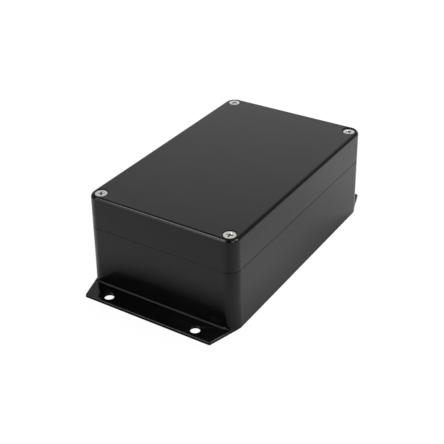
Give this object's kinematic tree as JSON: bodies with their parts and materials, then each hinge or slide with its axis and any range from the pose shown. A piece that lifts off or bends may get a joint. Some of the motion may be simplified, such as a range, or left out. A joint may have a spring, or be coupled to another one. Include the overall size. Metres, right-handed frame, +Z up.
{
  "type": "flanged aluminium enclosure",
  "caption": "Rectangular die-cast aluminium enclosure with a deep screwed lid, a seal and a drilled mounting flange at each end, for housing electronics.",
  "frame": {"origin": "centre of the footprint, on the plane that the box stands on", "axes": "+X along the length towards one flange, +Y along the width, +Z up through the lid"},
  "size_m": [0.1908, 0.1012, 0.06],
  "materials": {
    "black_coat": "smooth satin black powder coat on die-cast aluminium",
    "seal_rubber": "matt black rubber",
    "screw_steel": "bright plain steel with a cross recess"
  },
  "bodies": {
    "base": {"base": "black_coat"},
    "lid": {"lid": "black_coat", "gasket": "seal_rubber", "lid_screws": "screw_steel"}
  },
  "joints": [
    {"name": "lid_lift", "type": "slide", "parent": "base", "child": "lid", "axis": [0, 0, 1], "range_m": [0, 0.08]}
  ]
}
